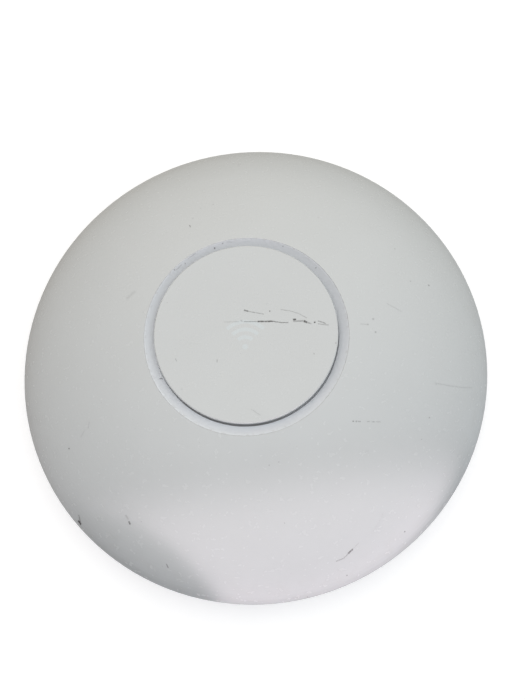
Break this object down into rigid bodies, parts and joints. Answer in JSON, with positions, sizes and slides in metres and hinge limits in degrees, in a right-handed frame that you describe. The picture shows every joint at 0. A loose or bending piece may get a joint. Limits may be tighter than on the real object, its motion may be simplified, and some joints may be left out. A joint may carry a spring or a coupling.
{
  "type": "ceiling access point",
  "caption": "Round domed ceiling access point that turns onto a flat bracket, with a raised front disc in a lit groove and a cable bay with a network socket.",
  "frame": {"origin": "centre of the bracket's ceiling face", "axes": "+Z out of the front through the disc, -Y towards the cable bay and its side slot, +X to the right seen from the front with the bay down"},
  "size_m": [0.1756, 0.1756, 0.0432],
  "materials": {
    "white_cover": "satin",
    "shell_plastic": "fine texture",
    "diffuser": "frosted, translucent",
    "black_plastic": "moulded",
    "switch_plastic": "moulded",
    "circuit_board": "solder mask",
    "light_board": "solder mask",
    "epoxy": "moulded package",
    "led_package": "clear cap",
    "ferrite": "pressed powder",
    "tin_plate": "tinned",
    "screw_steel": "zinc plated",
    "can_aluminium": "bright",
    "plate_aluminium": "mill finish",
    "brass": "plain",
    "contact_gold": "plated",
    "thermal_pad": "soft",
    "lead_sheath": "smooth",
    "label_film": "printed film, blank"
  },
  "bodies": {
    "bracket": {"mounting_bracket": "shell_plastic"},
    "latch": {"lock_latch": "shell_plastic"},
    "unit": {"rear_shell": "shell_plastic", "rating_label": "label_film", "jack_shield": "tin_plate", "jack_housing": "black_plastic", "jack_contacts": "contact_gold", "reset_switch": "black_plastic", "main_board": "circuit_board", "lan_transformer": "epoxy", "bulk_capacitors": "can_aluminium", "power_inductors": "ferrite", "processor": "epoxy", "memory_chips": "epoxy", "radio_chips": "epoxy", "shield_processor": "tin_plate", "shield_radio_2g": "tin_plate", "shield_radio_5g": "tin_plate", "coax_connectors": "contact_gold", "ribbon_connector": "lead_sheath", "thermal_pads": "thermal_pad", "board_standoffs": "brass", "ground_plate": "plate_aluminium", "plate_screws": "screw_steel", "antenna_2g_1": "brass", "antenna_2g_2": "brass", "antenna_2g_3": "brass", "antenna_5g_1": "brass", "antenna_5g_2": "brass", "coax_2g_1": "lead_sheath", "coax_2g_2": "lead_sheath", "coax_2g_3": "lead_sheath", "coax_5g_1": "lead_sheath", "coax_5g_2": "lead_sheath", "led_carrier": "shell_plastic", "led_screws": "screw_steel", "led_board": "light_board", "leds": "led_package", "led_ribbon": "lead_sheath", "light_guide": "diffuser", "front_disc": "white_cover", "dome_cover": "white_cover"},
    "button": {"reset_button": "switch_plastic"},
    "slot_cover": {"cable_slot_cover": "shell_plastic"}
  },
  "joints": [
    {"name": "bracket_twist", "type": "hinge", "parent": "bracket", "child": "unit", "pos_m": [0, 0, 0], "axis": [0, 0, 1], "range_deg": [0, 14]},
    {"name": "latch_swing", "type": "hinge", "parent": "bracket", "child": "latch", "pos_m": [-0.05583, 0.01496, 0.003], "axis": [0, 0, 1], "range_deg": [-7, 0]},
    {"name": "reset_press", "type": "slide", "parent": "unit", "child": "button", "axis": [0, 1, 0], "range_m": [0, 0.0005], "stiffness_N_per_m": 2000},
    {"name": "slot_cover_pull", "type": "slide", "parent": "unit", "child": "slot_cover", "axis": [0, -1, 0], "range_m": [0, 0.014]}
  ],
  "couplings": [
    {"joint": "latch_swing", "follows": "bracket_twist", "ratio": -0.5}
  ]
}
